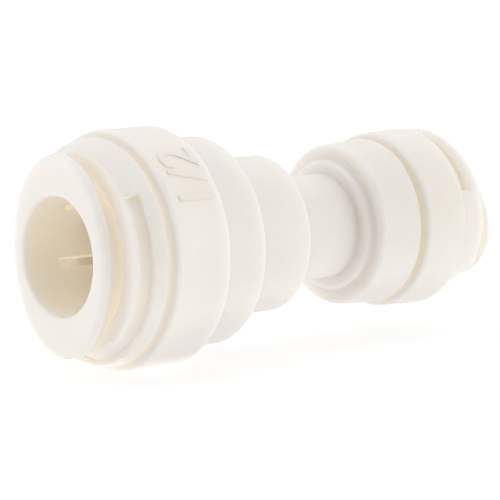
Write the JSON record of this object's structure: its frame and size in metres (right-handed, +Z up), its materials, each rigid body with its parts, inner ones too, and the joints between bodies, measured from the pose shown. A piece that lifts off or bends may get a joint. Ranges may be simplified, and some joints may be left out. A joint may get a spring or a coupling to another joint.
{
  "type": "push to connect fitting",
  "caption": "Straight reducing push to connect fitting in white plastic, with a sliding release collet at each end.",
  "frame": {"origin": "on the axis, half way between the outer faces of the two collets", "axes": "+X along the tube axis from the large port to the small port, +Z up"},
  "size_m": [0.0556, 0.026, 0.026],
  "materials": {
    "body_plastic": "satin",
    "collet_plastic": "satin",
    "washer_plastic": "satin",
    "seal_rubber": "matt",
    "tooth_steel": "brushed"
  },
  "bodies": {
    "housing": {"fitting_body": "body_plastic", "large_cap": "body_plastic", "large_spacer": "washer_plastic", "large_o_ring": "seal_rubber", "small_cap": "body_plastic", "small_spacer": "washer_plastic", "small_o_ring": "seal_rubber"},
    "large_release": {"large_collet": "collet_plastic", "large_grip_tooth_1": "tooth_steel", "large_grip_tooth_2": "tooth_steel", "large_grip_tooth_3": "tooth_steel", "large_grip_tooth_4": "tooth_steel", "large_grip_tooth_5": "tooth_steel", "large_grip_tooth_6": "tooth_steel"},
    "small_release": {"small_collet": "collet_plastic", "small_grip_tooth_1": "tooth_steel", "small_grip_tooth_2": "tooth_steel", "small_grip_tooth_3": "tooth_steel", "small_grip_tooth_4": "tooth_steel", "small_grip_tooth_5": "tooth_steel", "small_grip_tooth_6": "tooth_steel"}
  },
  "joints": [
    {"name": "large_collet_slide", "type": "slide", "parent": "housing", "child": "large_release", "axis": [1, 0, 0], "range_m": [0, 0.0009]},
    {"name": "small_collet_slide", "type": "slide", "parent": "housing", "child": "small_release", "axis": [-1, 0, 0], "range_m": [0, 0.00085]}
  ]
}
